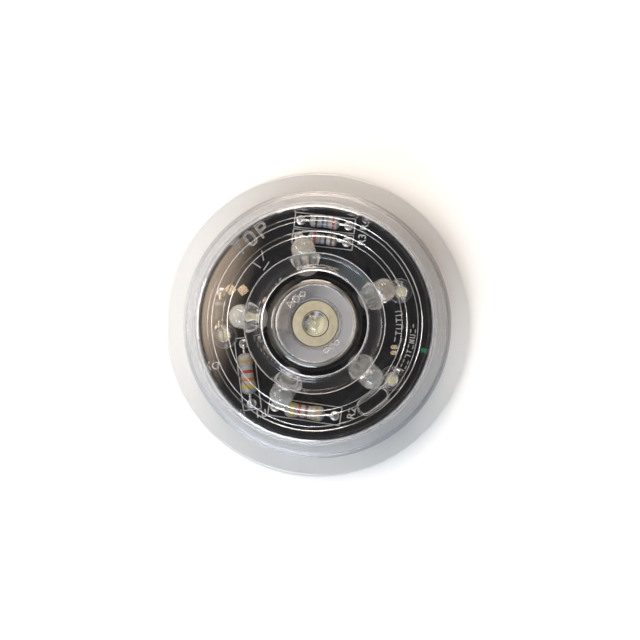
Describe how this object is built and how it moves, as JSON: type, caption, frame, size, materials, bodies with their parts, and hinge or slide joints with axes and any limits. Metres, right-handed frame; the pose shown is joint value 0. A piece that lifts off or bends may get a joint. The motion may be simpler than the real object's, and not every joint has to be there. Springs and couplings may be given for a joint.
{
  "type": "round led marker lamp",
  "caption": "Round clear-lens LED marker lamp: flanged lens cup with ring steps over a black circuit board, closed by a flat rear cover with threaded inserts and a cable inlet.",
  "frame": {"origin": "centre of the flat back face, on the lamp axis", "axes": "+Z along the lamp axis, out through the lens face; +Y towards the TOP mark; +X completes the right-handed set"},
  "size_m": [0.065, 0.065, 0.0214],
  "materials": {
    "clear_lens": "clear injection-moulded polycarbonate, polished, with fine ring steps",
    "cover_plastic": "black ABS with a fine moulded texture",
    "seal_silicone": "dark grey silicone, satin",
    "insert_brass": "turned brass",
    "grommet_rubber": "black EPDM rubber",
    "potting_resin": "black two-part resin",
    "board_laminate": "glass laminate under glossy black solder mask",
    "solder": "bright solder",
    "terminal_gilt": "gilt contact finish",
    "led_epoxy": "water-clear cast epoxy",
    "frame_steel": "silver-plated steel strip",
    "spacer_nylon": "natural nylon, slightly translucent",
    "phosphor": "yellow phosphor in silicone",
    "resistor_lacquer": "lacquered body with colour bands",
    "lead_wire": "tinned copper wire",
    "diode_epoxy": "black moulded epoxy with a light band"
  },
  "bodies": {
    "root": {"lens": "clear_lens", "rear_cover": "cover_plastic", "rear_seal": "seal_silicone", "threaded_inserts": "insert_brass", "cable_grommet": "grommet_rubber", "potting": "potting_resin", "circuit_board": "board_laminate", "solder_joints": "solder", "supply_terminals": "terminal_gilt", "centre_led": "led_epoxy", "centre_led_frame": "frame_steel", "centre_led_sleeve": "spacer_nylon", "led_chips": "phosphor", "tilted_led_1": "led_epoxy", "tilted_led_2": "led_epoxy", "tilted_led_3": "led_epoxy", "tilted_led_4": "led_epoxy", "tilted_led_5": "led_epoxy", "tilted_frame_1": "frame_steel", "tilted_frame_2": "frame_steel", "tilted_frame_3": "frame_steel", "tilted_frame_4": "frame_steel", "tilted_frame_5": "frame_steel", "tilted_spacer_1": "spacer_nylon", "tilted_spacer_2": "spacer_nylon", "tilted_spacer_3": "spacer_nylon", "tilted_spacer_4": "spacer_nylon", "tilted_spacer_5": "spacer_nylon", "short_led_1": "led_epoxy", "short_led_2": "led_epoxy", "short_led_3": "led_epoxy", "short_frame_1": "frame_steel", "short_frame_2": "frame_steel", "short_frame_3": "frame_steel", "resistor_1": "resistor_lacquer", "resistor_2": "resistor_lacquer", "resistor_3": "resistor_lacquer", "resistor_4": "resistor_lacquer", "resistor_leads_1": "lead_wire", "resistor_leads_2": "lead_wire", "resistor_leads_3": "lead_wire", "resistor_leads_4": "lead_wire", "diode": "diode_epoxy", "diode_leads": "lead_wire"}
  },
  "joints": []
}
